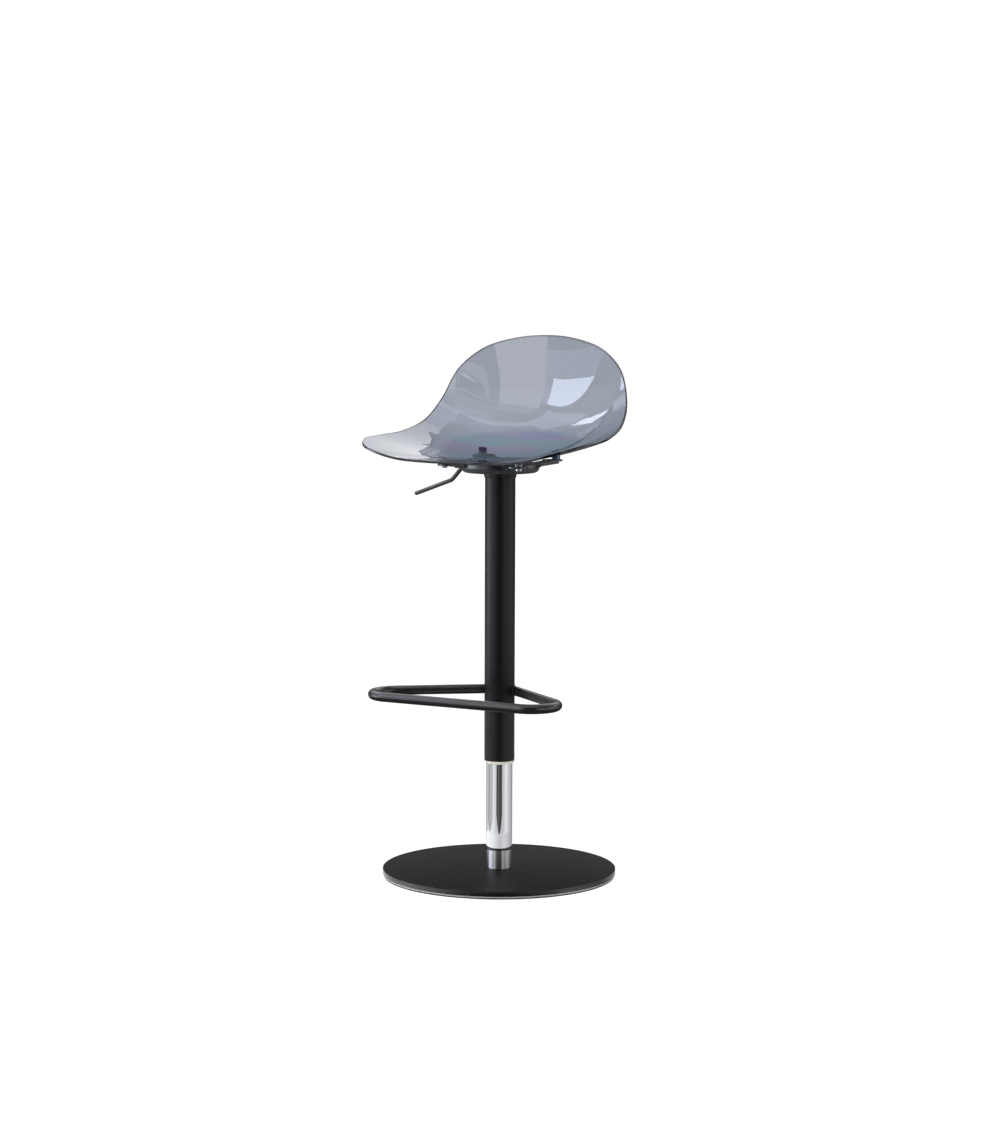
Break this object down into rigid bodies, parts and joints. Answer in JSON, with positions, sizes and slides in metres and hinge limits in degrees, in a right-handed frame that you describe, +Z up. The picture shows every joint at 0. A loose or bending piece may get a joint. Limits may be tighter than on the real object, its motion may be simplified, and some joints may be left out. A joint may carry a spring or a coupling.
{
  "type": "adjustable stool",
  "caption": "Height-adjustable swivel stool: clear low-backed bucket seat on a gas-lift column with a triangular foot ring and a round weighted base.",
  "frame": {"origin": "centre of the base's underside, on the floor and on the column's axis", "axes": "+Z up along the column, -Y towards the front of the seat, +X to the sitter's left, with the height lever on the sitter's right"},
  "size_m": [0.4668, 0.44, 1.0157],
  "materials": {
    "black_powder_coat": "satin black powder coat",
    "clear_gasket": "clear vinyl edge gasket",
    "cork_pad": "pressed cork and rubber pad",
    "brushed_steel": "satin turned steel",
    "zinc_screws": "zinc plated steel",
    "chromed_tube": "polished chrome plate",
    "nylon_bush": "natural cream nylon",
    "bearing_steel": "ground bearing steel",
    "black_rubber": "moulded black rubber",
    "spring_steel": "blackened spring steel",
    "aluminium_piston": "turned aluminium",
    "black_cylinder": "gloss black enamel",
    "dark_plastic": "fine textured dark grey plastic",
    "brass_inserts": "turned brass",
    "clear_polycarbonate": "smoke tinted clear polycarbonate"
  },
  "bodies": {
    "base": {"base_plate": "black_powder_coat", "edge_gasket": "clear_gasket", "floor_pad": "cork_pad", "base_spigot": "brushed_steel", "spigot_screws": "zinc_screws", "stand_tube": "chromed_tube", "cylinder_guide": "nylon_bush", "slide_ring": "nylon_bush", "lower_race": "bearing_steel", "bearing_balls": "bearing_steel"},
    "spindle": {"upper_race": "bearing_steel", "rubber_bumper": "black_rubber", "piston_rod": "chromed_tube", "rod_clip": "spring_steel", "piston": "aluminium_piston"},
    "carriage": {"gas_cylinder": "black_cylinder", "rod_seal": "black_rubber", "cone_housing": "black_powder_coat", "outer_tube": "black_powder_coat", "tube_bush": "nylon_bush", "bush_screw": "zinc_screws", "foot_ring": "black_powder_coat", "lever_channel": "black_powder_coat", "seat_bracket": "black_powder_coat", "pivot_pin": "zinc_screws", "cover_dish": "dark_plastic", "tube_collar": "dark_plastic", "collar_screw": "zinc_screws", "seat_bosses": "clear_polycarbonate", "boss_inserts": "brass_inserts", "seat_screws": "zinc_screws", "seat_shell": "clear_polycarbonate"},
    "lever": {"lever_rod": "black_powder_coat"},
    "button": {"valve_button": "chromed_tube"}
  },
  "joints": [
    {"name": "seat_swivel", "type": "hinge", "parent": "base", "child": "spindle", "pos_m": [0, 0, 0.02], "axis": [0, 0, 1], "continuous": true},
    {"name": "seat_height", "type": "slide", "parent": "spindle", "child": "carriage", "axis": [0, 0, 1], "range_m": [-0.16, 0]},
    {"name": "lever_tilt", "type": "hinge", "parent": "carriage", "child": "lever", "pos_m": [-0.028, 0, 0.7722], "axis": [0, 1, 0], "range_deg": [0, 5], "stiffness_Nm_per_rad": 6, "springref_deg": -2.86},
    {"name": "button_press", "type": "slide", "parent": "carriage", "child": "button", "axis": [0, 0, -1], "range_m": [0, 0.0026]}
  ],
  "couplings": [
    {"joint": "button_press", "follows": "lever_tilt", "m_per_rad": 0.028}
  ]
}
